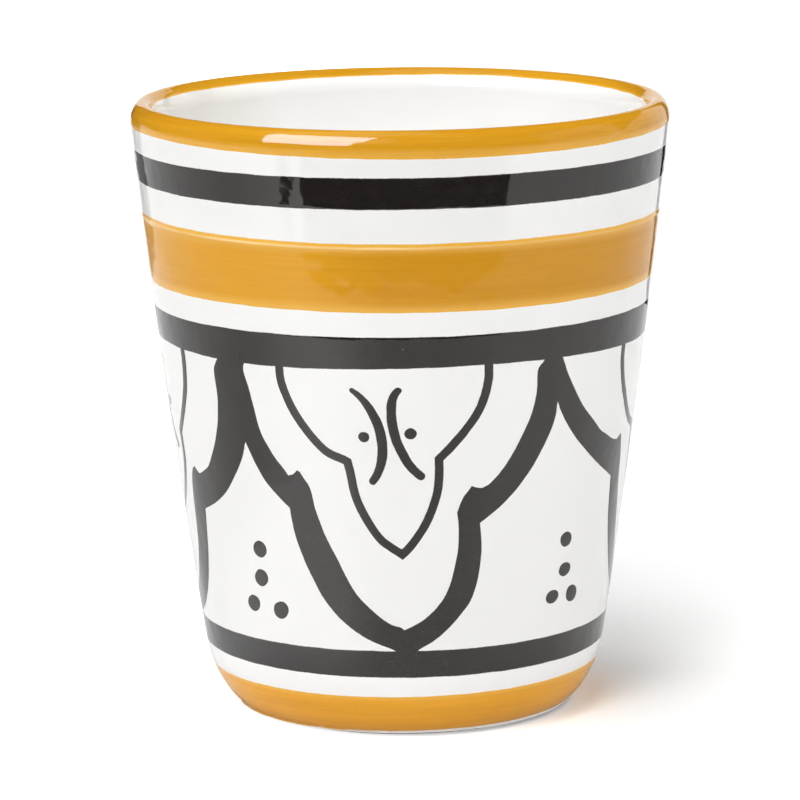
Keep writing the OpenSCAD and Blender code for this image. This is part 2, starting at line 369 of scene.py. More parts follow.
def mustard_paint():
    f = Finish("mustard_paint", 0.12)
    f.shader.inputs["Specular IOR Level"].default_value = 0.22
    streaks = f.noise(26, 5, stretch=(1, 1, 22))
    hairs = f.noise(70, 5, stretch=(1, 1, 50), shift=5.0)
    coat = f.spread(f.plus(f.times(streaks, 0.5), f.times(hairs, 0.5)), 0.36, 0.64, 0.0, 1.0)
    x, z = f.along("X"), f.along("Z")
    wide = f.blend(coat, (0.565, 0.252, 0.013), (0.615, 0.285, 0.018))
    # Painted light: the wide band is lighter on its left side, where the light falls.
    wide_lit_left = f.blend(coat, (0.67, 0.31, 0.017), (0.73, 0.348, 0.021))
    rim = f.blend(coat, (0.548, 0.252, 0.0112), (0.652, 0.314, 0.0168))
    # The foot band's tones are raised as painted light, standing in for light bounced up from the table;
    # the band also grows darker towards its bottom.
    foot = f.blend(coat, (0.71, 0.322, 0.0195), (0.815, 0.378, 0.025))
    foot_low = f.blend(coat, (0.65, 0.298, 0.0185), (0.75, 0.352, 0.0235))
    body = f.blend(f.spread(x, -0.002, -0.014, 0.0, 1.0), wide, wide_lit_left)
    body = f.blend(f.spread(z, 0.083, 0.088, 0.0, 1.0), body, rim)
    foot = f.blend(f.spread(z, 0.006, 0.0015, 0.0, 1.0), foot, foot_low)
    body = f.blend(f.spread(z, 0.0085, 0.0075, 0.0, 1.0), body, foot)
    thin = f.spread(f.attribute("paint_margin"), 0.0, 1.0, 0.0, 0.95)
    body = f.blend(thin, body, (0.83, 0.455, 0.085))
    # A painted highlight along the bead at the wide band's top edge: light yellow, patchy round the cup
    # and fading towards the right.
    highlight_strength = f.spread(f.noise(60, 3, stretch=(1, 1, 0.2), shift=6.0), 0.38, 0.6, 0.4, 1.0)
    highlight_strength = f.times(highlight_strength, f.spread(x, 0.004, 0.018, 1.0, 0.35))
    ridge_highlight = f.times(highlight_strength, f.spread(f.attribute("paint_depth"), 1.4, 2.8, 0.0, 0.85))
    body = f.blend(ridge_highlight, body, (0.92, 0.68, 0.32))
    body = paint_edge(f, body, 0.95, 0.8, (0.8, 0.42, 0.03))
    f.colour(body)
    f.rough(f.spread(streaks, 0.3, 0.7, 0.05, 0.09))
    f.bump(f.noise(170, 2, shift=2.0), 1.4e-4)
    f.bump(hairs, 1.5e-6)
    return f.material


def black_paint():
    f = Finish("black_paint", 0.12)
    streaks = f.noise(34, 6, stretch=(1, 1, 22), shift=9.0)
    wash = f.noise(420, 4, shift=4.0)
    coat = f.spread(f.plus(f.times(streaks, 0.5), f.times(wash, 0.5)), 0.36, 0.64, 0.0, 1.0)
    body = f.blend(coat, (0.0135, 0.011, 0.0095), (0.0185, 0.0155, 0.0135))
    body = paint_edge(f, body, 0.6, 0.35, (0.1, 0.07, 0.045))
    body = f.blend(f.times(f.specks(520, 0.09, 0.05), 0.5), body, (0.45, 0.42, 0.38))
    f.colour(body)
    f.rough(f.spread(wash, 0.3, 0.7, 0.035, 0.07))
    f.bump(f.noise(170, 2, shift=6.0), 1.6e-4)
    f.bump(wash, 6e-7)
    return f.material


def bare_clay():
    f = Finish("bare_clay", 0.8)
    grain = f.noise(900, 4)
    body = f.blend(f.spread(grain, 0.3, 0.7, 0.0, 1.0), (0.5, 0.37, 0.25), (0.66, 0.53, 0.4))
    rings = f.noise(60, 3, stretch=(1, 1, 14), shift=2.0)
    body = f.blend(f.spread(rings, 0.45, 0.75, 0.0, 0.35), body, (0.72, 0.6, 0.47))
    # The clay turns almost black at the foot ring's outer edge, where it meets the table.
    dark_ring_edge = f.spread(f.length(), 0.0221, 0.0227, 0.0, 1.0)
    body = f.blend(dark_ring_edge, body, (0.13, 0.085, 0.055))
    f.colour(body)
    f.rough(f.spread(grain, 0.3, 0.7, 0.7, 0.9))
    f.bump(grain, 3e-5)
    return f.material


CLAY = bare_clay()
# Outer glaze: painted shade darkens it towards the bottom of the wall, and painted light whitens it near
# the heel and at the very foot.
OUTER_WHITE = white_glaze("white_glaze", (0.86, 0.855, 0.845), (0.835, 0.83, 0.815),
                          [("Z", 0.055, 0.02, (0.81, 0.805, 0.792)),
                           ("Z", 0.0125, 0.0095, (0.865, 0.862, 0.855)),
                           ("Z", 0.003, 0.001, (0.93, 0.925, 0.91))])
# Liner: painted shade makes it darker and creamier on its left side.
LINER_WHITE = white_glaze("liner_glaze", (0.94, 0.936, 0.922), (0.915, 0.908, 0.892),
                          [("X", -0.015, -0.03, (0.845, 0.82, 0.765))])
MUSTARD = mustard_paint()
BLACK = black_paint()


# Clay and glazes
def outside_run(low, high, step=1.5):
    return [outside(z) for z in even(low, high, step)]


lip_over = [lip(a) for a in even(0, 90, 3)]
lip_down = [lip(a) for a in even(90, 180, 3)]
wall_down = [inside(z) for z in even(LIP_IN_Z, CORNER_Z, 2.5)]
floor_in = [corner(a) for a in even(0, 90, 7.5)]
floor_across = [(r, FLOOR_Z, 0.0, 1.0) for r in even(floor_in[-1][0], 0, 3)]
skin_in = lip_down + wall_down[1:] + floor_in[1:] + floor_across[1:]


def turned_clay():
    ring = heel_r(0.0)
    ring_in = ring - FOOT_RING_W
    soft = 0.35
    line_h, line_pace, lines_end = 0.06, 1.9, ring_in - 2.2
    wheel_lines = [(r, RECESS_H + line_h * math.sin(line_pace * r)) for r in even(0, lines_end, 0.5)]
    under = wheel_lines + [(ring_in - RECESS_SLOPE, RECESS_H - 0.15), (ring_in - 0.3, soft),
                           (ring_in + 0.1, 0.08), (ring_in + soft, 0.0), (ring - 0.6, 0.0),
                           (ring - 0.42, 0.04)]
    heel = [outside(BARE_H)] + outside_run(GLAZE_FOOT, HEEL_H, 0.6)
    skin = heel + outside_run(HEEL_H + 1, LIP_Z) + lip_over[1:]
    return turn("turned_clay", under + layer(skin + skin_in[1:], -GLAZE_T))


def poured_liner():
    loop = layer(skin_in, 0) + layer(skin_in[::-1], -GLAZE_T)
    return turn("poured_liner", loop + loop[:1])


def dipped_glaze():
    roll = [(0.02, -0.15), (0.06, -0.07), (0.15, -0.02)]
    edge = [layer([outside(BARE_H + up)], t)[0] for up, t in roll]
    skin = (outside_run(BARE_H + 0.2, GLAZE_FOOT - 0.05, 0.1) + outside_run(GLAZE_FOOT, HEEL_H, 0.5)
            + outside_run(HEEL_H + 0.5, LIP_Z, 1.0) + lip_over[1:])
    back = [outside(BARE_H)] + skin
    loop = edge + layer(skin, 0) + layer(back[::-1], -GLAZE_T)
    return turn("dipped_glaze", loop + loop[:1])


put_on(turned_clay(), "clay_body", CLAY)
put_on(poured_liner(), "liner_glaze", LINER_WHITE)
put_on(dipped_glaze(), "outer_glaze", OUTER_WHITE)

# Bands of paint: distance in from an edge, and how high the paint stands there.
# A straying edge pulls this much of its band along, and the skin's way is felt for nearby.
PULL = 2.5
FEEL = 0.05
WAVER_RING = 9
EDGE = [(0.0, 0.0), (0.012, 0.003), (0.06, 0.007), (0.16, 0.014), (0.3, 0.021), (0.5, COAT)]
BEAD = [(0.0, 0.0), (0.012, 0.003), (0.06, 0.007), (0.16, 0.014), (0.36, 0.02), (0.44, 0.034),
        (0.52, 0.066), (0.6, 0.078), (0.7, 0.07), (0.86, 0.044), (1.15, COAT)]


def height_in(edge, d):
    """How high the paint stands at a distance in from its edge."""
    for (d0, h0), (d1, h1) in zip(edge, edge[1:]):
        if d <= d1:
            return h0 + (h1 - h0) * (d - d0) / (d1 - d0)
    return edge[-1][1]


def waver(theta, waves, seed, shake):
    """How far a painted edge strays at an angle in degrees."""
    t = math.radians(theta)
    at = Vector((WAVER_RING * math.cos(t), WAVER_RING * math.sin(t), seed))
    fine = noise.noise(at) + 0.4 * noise.noise(at * 3.1) + 0.15 * noise.noise(at * 8.3)
    return shake * fine + sum(a * math.cos(math.radians(n * (theta - at0))) for a, n, at0 in waves)


def band(name, run, low_edge, high_edge, low_waves=(), high_waves=(), seed=0.0, shake=0.07,
         step=0.8, low_fade=0.6, high_fade=0.6):
    """A coat of paint along a run of the skin, with rounded and hand-drawn edges.

    Its colour thins over the fades, in millimetres from its two edges."""
    travel = [0.0]
    for a, b in zip(run, run[1:]):
        travel.append(travel[-1] + math.hypot(b[0] - a[0], b[1] - a[1]))
    total = travel[-1]

    def at(d):
        """The skin at a distance along the run."""
        i = max(k for k in range(len(run) - 1) if travel[k] <= d + 1e-9)
        s = (d - travel[i]) / (travel[i + 1] - travel[i])
        return [a + (b - a) * s for a, b in zip(run[i], run[i + 1])]

    ends = [d for d, h in low_edge] + [total - d for d, h in high_edge]
    middle = even(low_edge[-1][0], total - high_edge[-1][0], step)[1:-1]
    stations = sorted(set(ends + middle))
    rows = []
    for d in stations:
        high = min(height_in(low_edge, d), height_in(high_edge, total - d))
        if total - d < high_edge[-1][0]:
            high = height_in(high_edge, total - d)
        rows.append((at(d), high, d))
    for d in stations[::-1]:
        rows.append((at(d), -SINK, d))
    loop = [(p[0] + h * p[2], p[1] + h * p[3]) for p, h, d in rows]
    piece = turn(name, loop + loop[:1])

    finder = kdtree.KDTree(len(loop))
    for i, (r, z) in enumerate(loop):
        finder.insert((r, z, 0), i)
    finder.balance()
    reach = min(PULL, total / 2)
    depths, margins = [], []
    for v in piece.data.vertices:
        r = math.hypot(v.co.x, v.co.y) / MM
        theta = math.degrees(math.atan2(v.co.x, -v.co.y))
        i = finder.find((r, v.co.z / MM, 0))[1]
        p, high, d = rows[i]
        depths.append(max(0.0, high / COAT))
        margins.append(max(0.0, 1 - d / low_fade, 1 - (total - d) / high_fade))
        low_share = max(0.0, 1 - d / reach)
        high_share = max(0.0, 1 - (total - d) / reach)
        stray = (low_share * waver(theta, low_waves, seed, shake)
                 + high_share * waver(theta, high_waves, seed + 5, shake))
        a, b = at(max(0.0, d - FEEL)), at(min(total, d + FEEL))
        gone = math.hypot(b[0] - a[0], b[1] - a[1])
        r_new = r + stray * (b[0] - a[0]) / gone
        v.co.x *= r_new / r
        v.co.y *= r_new / r
        v.co.z += stray * (b[1] - a[1]) / gone * MM
    mark(piece, "paint_depth", depths)
    mark(piece, "paint_margin", margins)
    return piece


def wall_band(name, edges, low_edge=EDGE, high_edge=EDGE, **more):
    """A band on the wall between two heights."""
    return band(name, outside_run(edges[0], edges[1], 0.5), low_edge, high_edge, **more)


rim_end = 180 - math.degrees(math.asin((RIM_INSIDE_Z - LIP_IN_Z) / LIP_IN_H))
rim_run = outside_run(RIM_LO, LIP_Z, 0.25) + [lip(a) for a in even(0, rim_end, 2)][1:]
put_on(band("rim_coat", rim_run, EDGE, EDGE, low_waves=[(-0.36, 2, 9)],
            high_waves=[(0.1, 3, 100)], seed=1.0, step=0.15, low_fade=1.3, high_fade=0.3),
       "rim_band", MUSTARD)
put_on(wall_band("upper_black_coat", UPPER_BLACK, low_waves=[(0.06, 2, 60)],
                 high_waves=[(0.08, 1, 0), (0.1, 2, 50)], seed=2.0),
       "upper_black_band", BLACK)
put_on(wall_band("wide_mustard_coat", WIDE_MUSTARD, high_edge=BEAD, low_waves=[(-0.06, 3, 10)],
                 high_waves=[(0.1, 2, 80), (0.12, 1, -70)], seed=3.0, step=0.4,
                 low_fade=1.4, high_fade=1.9),
       "wide_mustard_band", MUSTARD)
put_on(wall_band("frieze_top_coat", FRIEZE_TOP, low_waves=[(0.25, 3, 20)],
                 high_waves=[(0.12, 1, 90)], seed=4.0),
       "frieze_top_band", BLACK)
put_on(wall_band("base_black_coat", BASE_BLACK, seed=5.0),
       "base_black_band", BLACK)
foot_run = (outside_run(FOOT_MUSTARD[0], GLAZE_FOOT - 0.02, 0.1)
            + outside_run(GLAZE_FOOT, FOOT_MUSTARD[1], 0.4))
put_on(band("foot_mustard_coat", foot_run, EDGE, EDGE, low_waves=[(0.3, 1, 40)],
            high_waves=[(0.25, 1, 90)], seed=6.0, step=0.25, low_fade=0.3, high_fade=0.8),
       "foot_mustard_band", MUSTARD)

# Brushwork of the frieze, drawn flat in degrees round the cup and millimetres up.
# Each arm has its inner edge from the band by notch and nib to the foot, and its outer
# edge from the tip by the elbow to the base band. A list in a list is one smooth stretch.
UNDER_BAND = 57.4
UNDER_BASE = 13.1
FOOT_TOP = 17.4
FRONT_LEFT = {
    "inner": [[(-38.2, UNDER_BAND), (-38.5, 56), (-39.1, 54.8), (-38, 52.3), (-37, 49.3),
               (-35.7, 46), (-34, 44), (-32, 42.2), (-30, 40.8), (-28.8, 39.9)],
              [(-28.8, 39.9), (-27.7, 40.1), (-26.3, 40.8)],
              [(-26.3, 40.8), (-25.5, 40.5), (-24.7, 39.7), (-23.3, 38.5), (-22.7, 37.2),
               (-22.2, 35.3), (-21, 33), (-19.3, 30.5), (-17, 27.8), (-14.7, 24.9),
               (-12, 22.4), (-8, 20.1), (-5.3, 18.9), (-3, 18.1), (-1.3, 17.9), (0, FOOT_TOP)]],
    "outer": [[(-40.8, 44), (-39.7, 42.7), (-38, 40.7), (-36, 38.8), (-32.7, 36.7), (-29.3, 35)],
              [(-29.3, 35), (-29, 33.3), (-28, 30.3), (-26.3, 27.3), (-24, 24.3), (-21.7, 21.8),
               (-19.3, 20), (-17, 18.7), (-14, 17.3), (-10, 15.9), (-6, 14.95), (-2.8, 14.3),
               (-0.7, UNDER_BASE)]]}
FRONT_RIGHT = {
    "inner": [[(34.4, UNDER_BAND), (34.0, 56.2), (32.7, 55.3), (32.3, 54.3), (32.5, 51.9),
               (32, 49.7), (31, 47.7), (29.3, 45.5), (27.7, 43.7), (25.7, 41.7), (23.7, 40.2),
               (21.3, 38.8), (19.3, 38.2)],
              [(19.3, 38.2), (17.9, 38.35), (16.7, 38.6)],
              [(16.7, 38.6), (16, 38), (14.7, 37.1), (13.7, 35.8), (13.2, 34.8)],
              [(13.2, 34.8), (13.6, 33), (13.8, 30.7), (13.5, 28.6), (12.8, 26.2), (11.8, 24),
               (10.4, 22.2), (9.3, 21.3), (7.7, 20.2), (5, 18.9), (2.7, 18.15), (0, FOOT_TOP)]],
    "outer": [[(38.9, 49.7), (38.7, 47.8), (37.7, 45.8), (36, 43.7), (32.7, 40.4), (29.3, 37.9),
               (26, 35.9), (22, 34.1), (19.3, 33)],
              [(19.3, 33), (19.8, 30.7), (20, 28.7), (19.7, 26), (19, 23.6), (17.7, 21.5),
               (15.7, 19.8), (13, 18.1), (10, 16.5), (7, 15.3), (3.8, 14.3), (1.6, UNDER_BASE)]]}
NEAR_LEFT = {
    "inner": [[(37.6, UNDER_BAND), (37.8, 56.1), (36.7, 55), (36, 53.8), (36.2, 50.2),
               (35.6, 47.7), (34.5, 45.3), (32.5, 42.6), (30, 40.2), (28, 38.9), (25, 37.9),
               (23.25, 37.5)],
              [(23.25, 37.5), (22, 37.8), (20.75, 38.3)],
              [(20.75, 38.3), (19.25, 37.8), (17.75, 36.3), (16.75, 34), (16.25, 31.7), (15.5, 29),
               (14.5, 26.3), (12.5, 23.7), (10, 21.3), (6.5, 19.2), (3, 18.1), (0, FOOT_TOP)]],
    "outer": [[(44.2, 44), (43, 42), (41, 40), (38.5, 38), (35, 35.8), (31, 34.1), (27, 33),
               (23.75, 32.2)],
              [(23.75, 32.2), (23.25, 30.3), (22.5, 28), (21.25, 25), (19.5, 22.2), (17.5, 20),
               (15, 18.1), (11.5, 16.4), (7.5, 15.2), (3.5, 14.3), (1.5, UNDER_BASE)]]}
NEAR_RIGHT = {
    "inner": [[(-55.2, UNDER_BAND), (-54.6, 56.2), (-52.5, 53.7), (-49.5, 50.8), (-46, 48.2),
               (-41.5, 45.8), (-38, 44), (-34, 42.8), (-31, 42), (-28.5, 41.6)],
              [(-28.5, 41.6), (-27, 41.9), (-25.6, 42.3)],
              [(-25.6, 42.3), (-24.75, 41.3), (-23.75, 39.3), (-23.1, 37), (-22.2, 34.7),
               (-20.75, 32), (-19, 29), (-17, 26.1), (-14.5, 23.3), (-11.5, 21), (-7.5, 19.5),
               (-3, 18.1), (0, FOOT_TOP)]],
    "outer": [[(-55.1, 49.7), (-53, 47.4), (-49, 44.4), (-45, 42.2), (-40.5, 40.1), (-35.5, 38.2),
               (-31, 36.7), (-29.25, 36.2)],
              [(-29.25, 36.2), (-28.9, 34.3), (-28, 31.3), (-26.5, 28.3), (-24, 25), (-21, 22.1),
               (-18, 20), (-15, 18.4), (-11.5, 16.9), (-7, 15.3), (-3, 14.3), (-0.8, UNDER_BASE)]]}
LEFT_NIB, RIGHT_NIB = -26.3, 16.7


def smooth(stretch, step=0.45):
    """Points on a soft curve through a stretch, in millimetres on the flat drawing."""
    pts = [Vector((a * MM_PER_DEG, z)) for a, z in stretch]
    ends = [2 * pts[0] - pts[1]] + pts + [2 * pts[-1] - pts[-2]]
    out = [pts[0]]
    for a, b, c, d in zip(ends, ends[1:], ends[2:], ends[3:]):
        parts = max(1, round((c - b).length / step))
        for i in range(1, parts + 1):
            t = i / parts
            out.append(0.5 * (2 * b + (c - a) * t + (2 * a - 5 * b + 4 * c - d) * t * t
                              + (3 * b - a - 3 * c + d) * t * t * t))
    return out


def edge_line(stretches):
    """Smooth stretches one after another, with sharp corners between them."""
    line = smooth(stretches[0])
    for stretch in stretches[1:]:
        line += smooth(stretch)[1:]
    return line


def refit(arm, nib, new_nib, new_tip, tip_z):
    """An arm opened or closed to another elbow and tip."""
    tip, old_z = arm["outer"][0][0]
    cut_z = arm["outer"][0][-1][1]

    def swing(a):
        if abs(a) <= abs(nib):
            return a * new_nib / nib
        return new_nib + (a - nib) * (new_tip - new_nib) / (tip - nib)

    inner = [[(swing(a), z) for a, z in s] for s in arm["inner"]]
    upper = [(swing(a), z + (tip_z - old_z) * (z - cut_z) / (old_z - cut_z))
             for a, z in arm["outer"][0]]
    return {"inner": inner, "outer": [upper, [(swing(a), z) for a, z in arm["outer"][1]]]}


ARCH_AT = [-85, 0, 94, 185, 275]
LEFT_ARMS = {0: FRONT_LEFT, 94: NEAR_RIGHT,
             185: refit(FRONT_LEFT, LEFT_NIB, -26, -46, 46.2),
             275: refit(FRONT_LEFT, LEFT_NIB, -27, -45, 46.6)}
RIGHT_ARMS = {-85: NEAR_LEFT, 0: FRONT_RIGHT,
              94: refit(FRONT_RIGHT, RIGHT_NIB, 19, 45, 46.2),
              185: refit(FRONT_RIGHT, RIGHT_NIB, 19, 45, 46.6)}
LEFT_ARMS[-85] = LEFT_ARMS[275]
RIGHT_ARMS[-175] = RIGHT_ARMS[185]


def tip_outline(left_foot, right_foot):
    """The stroke between two feet: up one arm, round the tip, down the next."""
    right, left = RIGHT_ARMS[left_foot], LEFT_ARMS[right_foot]
    near = Vector((left_foot * MM_PER_DEG, 0))
    far = Vector((right_foot * MM_PER_DEG, 0))
    up = [near + p for p in edge_line(right["inner"])][::-1]
    down = [far + p for p in edge_line(left["inner"])]
    back_up = [far + p for p in edge_line(left["outer"])][::-1]
    back_down = [near + p for p in edge_line(right["outer"])]
    sole = [far + Vector((0, UNDER_BASE))]
    heel = [near + Vector((0, UNDER_BASE))]
    return up + down + sole + back_up + back_down[1:] + heel


# How a stroke's rim is rolled: how far in each step goes, and how far up.
# The lattice that lets a stroke bend keeps off the outlines' own points.
STROKE_EDGE = [(0.012, 0.003), (0.05, 0.006), (0.1, 0.007), (0.16, 0.009)]
STROKE_FOOT = 0.06
GRID_DEG = 1.5
GRID_MM = 3.7
OFF_X, OFF_Z = 0.013, 0.017
STRAY = 0.05
STRAY_PACE = 0.4
ARCH_JOIN = -148.3
JOIN_CALM = 5


def wobble(at, coarse, fine):
    """How far the brush strays at a place, from two layers of noise."""
    return STRAY * (noise.noise(at + Vector((0, 0, coarse)))
                    + 0.5 * noise.noise(2.7 * at + Vector((0, 0, fine))))


def on_wall(x, z, lift):
    """A place on the flat drawing, in millimetres, as a point on the cup in metres.

    The brush strays less and less towards the join, so that the arches' two ends meet."""
    from_join = abs((x / MM_PER_DEG - ARCH_JOIN + 180) % 360 - 180)
    calm = min(1.0, from_join / JOIN_CALM)
    at = Vector((STRAY_PACE * x, STRAY_PACE * z, 0))
    x += calm * wobble(at, 0, 0)
    z += calm * wobble(at, 7, 3)
    a = math.radians(x / MM_PER_DEG)
    r = wall_r(z) + lift
    return Vector((r * math.sin(a), -r * math.cos(a), z)) * MM


def brushwork(name, outlines, trim=None):
    """Raised strokes: flat outlines thickened, rolled at the rim and laid round the wall.

    A trim, in degrees, cuts strokes that go right round to one full turn from there."""
    flats = []
    for outline in outlines:
        flat = begin(name)
        draw([(p.x, p.y, 0) for p in outline] + [(outline[0].x, outline[0].y, 0)])
        close_up()
        bpy.ops.mesh.edge_face_add()
        bpy.ops.object.mode_set(mode="OBJECT")
        if flat.data.polygons[0].normal.z < 0:
            flat.data.flip_normals()
        flats.append(flat)
    bpy.ops.object.select_all(action="DESELECT")
    for flat in flats:
        flat.select_set(True)
    piece = flats[0]
    bpy.context.view_layer.objects.active = piece
    if len(flats) > 1:
        bpy.ops.object.join()
    bpy.ops.object.mode_set(mode="EDIT")
    close_up()
    bpy.ops.mesh.extrude_region_move(
        TRANSFORM_OT_translate={"value": (0, 0, STROKE_FOOT * MM)})
    for step_in, step_up in STROKE_EDGE:
        bpy.ops.mesh.inset(thickness=step_in * MM, depth=step_up * MM, use_boundary=True,
                           use_even_offset=False)
    xs = [p.x for outline in outlines for p in outline]
    for x in even(min(xs), max(xs), GRID_DEG * MM_PER_DEG)[1:-1]:
        cut(((x + OFF_X) * MM, 0, 0), (1, 0, 0))
    zs = [p.y for outline in outlines for p in outline]
    for z in even(min(zs), max(zs), GRID_MM)[1:-1]:
        cut((0, (z + OFF_Z) * MM, 0), (0, 1, 0))
    if trim:
        for degrees, side in ((trim, -1), (trim + 360, 1)):
            cut((degrees * MM_PER_DEG * MM, 0, 0), (side, 0, 0), drop=True)
    bpy.ops.object.mode_set(mode="OBJECT")
    top = STROKE_FOOT + sum(up for step_in, up in STROKE_EDGE)
    depths = [max(0.0, (v.co.z / MM - STROKE_FOOT) / (top - STROKE_FOOT))
              for v in piece.data.vertices]
    mark(piece, "paint_depth", depths)
    for v in piece.data.vertices:
        v.co = on_wall(v.co.x / MM, v.co.y / MM, v.co.z / MM - STROKE_FOOT)
    bpy.ops.object.mode_set(mode="EDIT")
    close_skin()
    return piece


arch_outlines = [tip_outline(a, b) for a, b in zip([-175] + ARCH_AT, ARCH_AT)]
put_on(brushwork("arch_brushwork", arch_outlines, trim=ARCH_JOIN),
       "arch_strokes", BLACK)

# Thin lines of the pendants: from the band by the knee to the point at the bottom
PENDANT_W = 1.3
PENDANT_DROP = 0.12
LEFT_TOP, LEFT_KNEE = -28.9, -13.3
RIGHT_KNEE, RIGHT_TOP = 8.5, 19.8
PENDANT_LEFT = [[(LEFT_TOP, UNDER_BAND), (LEFT_TOP, 56), (-28.8, 54), (-27.5, 51.5), (-25.7, 49.3),
                 (-22.5, 46.5), (-18.4, 44), (-14.2, 42.9), (LEFT_KNEE, 42.6)],
                [(LEFT_KNEE, 42.6), (-12.6, 40.5), (-11.4, 37), (-9, 34), (-6, 31.3), (-3, 29.9),
                 (-0.4, 28.9)]]
PENDANT_RIGHT = [[(-0.4, 28.9), (1, 29.7), (3.2, 31.3), (5.5, 33.5), (7.2, 36), (8.3, 38.4),
                  (8.6, 40.8), (RIGHT_KNEE, 43)],
                 [(RIGHT_KNEE, 43), (10.5, 44.2), (14.3, 46.7), (17.7, 49.7), (18.9, 51.5), (19.6, 53.3),
                  (19.9, 54.8), (RIGHT_TOP, 56.3), (RIGHT_TOP, UNDER_BAND)]]

# A ribbon's sides look some points ahead for loops, and lean out at corners to a limit
LOOK_AHEAD = 12
LEAST_LEAN = 0.75


def open_out(line, knee, top, new_knee, new_top):
    """A pendant line opened or closed to another knee and top."""
    def swing(a):
        if abs(a) <= abs(knee):
            return a * new_knee / knee
        return new_knee + (a - knee) * (new_top - new_knee) / (top - knee)
    return [[(swing(a), z) for a, z in stretch] for stretch in line]


def untangle(side):
    """The side of a ribbon without the small loops that tight corners leave in it."""
    out = side[:1]
    i = 0
    while i < len(side) - 1:
        step = i + 1
        for j in range(min(i + LOOK_AHEAD, len(side) - 2), i + 1, -1):
            meet = geometry.intersect_line_line_2d(side[i], side[i + 1], side[j], side[j + 1])
            if meet:
                out.append(meet)
                step = j + 1
                break
        out.append(side[step])
        i = step
    return out


def ribbon(line, widths):
    """The two sides of a line of points, its breadth running through widths."""
    count = len(line) - 1
    sides = ([], [])
    for i, p in enumerate(line):
        before = (p - line[max(i - 1, 0)]).normalized() if i else Vector((0, 0))
        after = (line[min(i + 1, count)] - p).normalized() if i < count else Vector((0, 0))
        along = (before + after).normalized()
        across = Vector((-along.y, along.x))
        ahead = after if i < count else before
        lean = max(LEAST_LEAN, across.dot(Vector((-ahead.y, ahead.x))))
        s = i / count * (len(widths) - 1)
        k = min(int(s), len(widths) - 2)
        half = (widths[k] + (widths[k + 1] - widths[k]) * (s - k)) / 2 / lean
        sides[0].append(p + across * half)
        sides[1].append(p - across * half)
    return untangle(sides[0]), untangle(sides[1])


def pendant(at, left_knee, left_top, right_knee, right_top):
    """The outline of one pendant line, down its left side and up its right."""
    left = open_out(PENDANT_LEFT, LEFT_KNEE, LEFT_TOP, left_knee, left_top)
    right = open_out(PENDANT_RIGHT, RIGHT_KNEE, RIGHT_TOP, right_knee, right_top)
    line = edge_line(left + right)
    place = Vector((at * MM_PER_DEG, -PENDANT_DROP))
    one, other = ribbon([p + place for p in line], [PENDANT_W, PENDANT_W])
    return one + other[::-1]


put_on(brushwork("pendant_lines", [pendant(0, LEFT_KNEE, LEFT_TOP, RIGHT_KNEE, RIGHT_TOP),
                                   pendant(94, -15, -31, 11, 22),
                                   pendant(185, -15, -30, 12, 22),
                                   pendant(275, -15, -30, 14, 23.1)]),
       "pendant_strokes", BLACK)

# Crescents and dots
SWOOP_STEPS = 24
CAP_STEPS = 7
DAB_SIDES = 22
DAB_RING = 1.3
DAB_UNEVEN = 0.05


def swoop(a, p, q, b, at, widths):
    """A curved dab of the brush with round ends."""
    a, p, q, b = [Vector(((d + at) * MM_PER_DEG, z)) for d, z in (a, p, q, b)]
    line = []
    for i in range(SWOOP_STEPS + 1):
        t = i / SWOOP_STEPS
        u = 1 - t
        line.append(u * u * u * a + 3 * u * u * t * p + 3 * u * t * t * q + t * t * t * b)
    one, other = ribbon(line, widths)

    def cap(centre, start):
        turns = [Matrix.Rotation(-math.pi * k / CAP_STEPS, 2) for k in range(1, CAP_STEPS)]
        return [centre + part @ (start - centre) for part in turns]

    return one + cap(line[-1], one[-1]) + other[::-1] + cap(line[0], other[0])


CRESCENT_AT = [0, 94, 186, 280]
crescent_outlines = []
for at in CRESCENT_AT:
    crescent_outlines.append(swoop((-11.6, 53), (-5.5, 50.5), (-2.3, 43.5), (-7.3, 39.7), at,
                                   [0.75, 1.25, 1.45, 1.4, 1.15]))
    crescent_outlines.append(swoop((-1, 53), (-4.3, 51.5), (-2.6, 43.5), (4.2, 40.4), at,
                                   [1.0, 1.35, 1.4, 1.35, 1.25]))
put_on(brushwork("crescents", crescent_outlines), "crescent_strokes", BLACK)


def dab(at, z, wide, high, tilt, seed):
    """A dot of the brush, a little out of round."""
    points = []
    for k in range(DAB_SIDES):
        t = math.tau * k / DAB_SIDES
        at_ring = Vector((DAB_RING * math.cos(t), DAB_RING * math.sin(t), seed))
        out = 1 + DAB_UNEVEN * noise.noise(at_ring)
        p = Matrix.Rotation(math.radians(tilt), 2) @ Vector((wide / 2 * math.cos(t),
                                                             high / 2 * math.sin(t)))
        points.append(Vector((at * MM_PER_DEG, z)) + p * out)
    return points


pendant_spots = []
for at in CRESCENT_AT:
    pendant_spots.append(dab(at - 9.2, 46.2, 1.6, 1.6, 0, at + 1.5))
    pendant_spots.append(dab(at + 1.8, 46.7, 1.75, 1.65, 0, at + 2.5))
put_on(brushwork("pendant_spots", pendant_spots), "pendant_dots", BLACK)

